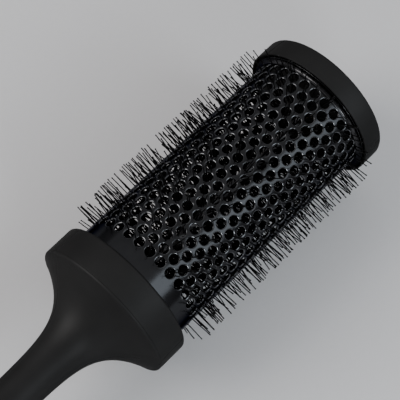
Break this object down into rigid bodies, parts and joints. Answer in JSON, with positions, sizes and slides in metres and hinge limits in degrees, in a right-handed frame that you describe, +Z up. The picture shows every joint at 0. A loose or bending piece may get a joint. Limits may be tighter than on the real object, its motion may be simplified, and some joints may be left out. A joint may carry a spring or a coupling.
{
  "type": "round barrel brush",
  "caption": "Round salon blow-dry brush: vented metal barrel over a bristle core, soft-touch cap, flared collar and slim handle.",
  "frame": {"origin": "on the surface the brush lies on, under the middle of its length and width", "axes": "+X along the barrel's axis from the handle to the cap, +Y level across the barrel, +Z up from the bristle tips it lies on"},
  "size_m": [0.2646, 0.074, 0.074],
  "materials": {
    "ceramic_barrel": "dark glossy ceramic coating on aluminium",
    "soft_touch": "black soft-touch, fine matte",
    "inner_plastic": "black moulded plastic",
    "butt_plastic": "black satin plastic",
    "gloss_ring": "black gloss",
    "brass_bush": "turned",
    "core_steel": "drawn wire",
    "nylon_bristle": "black heat-resistant nylon with a slight sheen"
  },
  "bodies": {
    "root": {"barrel": "ceramic_barrel", "collar_ring": "soft_touch", "collar_plug": "inner_plastic", "handle_shell": "soft_touch", "handle_core": "inner_plastic", "wire_socket": "inner_plastic", "butt_cap": "butt_plastic", "end_cap": "soft_touch", "end_ring": "gloss_ring", "end_plug": "inner_plastic", "end_sleeve": "brass_bush", "core_wire_a": "core_steel", "core_wire_b": "core_steel", "bristles_01": "nylon_bristle", "bristles_02": "nylon_bristle", "bristles_03": "nylon_bristle", "bristles_04": "nylon_bristle", "bristles_05": "nylon_bristle", "bristles_06": "nylon_bristle", "bristles_07": "nylon_bristle", "bristles_08": "nylon_bristle", "bristles_09": "nylon_bristle", "bristles_10": "nylon_bristle", "bristles_11": "nylon_bristle", "bristles_12": "nylon_bristle", "bristles_13": "nylon_bristle", "bristles_14": "nylon_bristle", "bristles_15": "nylon_bristle", "bristles_16": "nylon_bristle", "bristles_17": "nylon_bristle", "bristles_18": "nylon_bristle", "bristles_19": "nylon_bristle", "bristles_20": "nylon_bristle", "bristles_21": "nylon_bristle", "bristles_22": "nylon_bristle", "bristles_23": "nylon_bristle", "bristles_24": "nylon_bristle", "bristles_25": "nylon_bristle", "bristles_26": "nylon_bristle", "bristles_27": "nylon_bristle", "bristles_28": "nylon_bristle", "bristles_29": "nylon_bristle", "bristles_30": "nylon_bristle"}
  },
  "joints": []
}
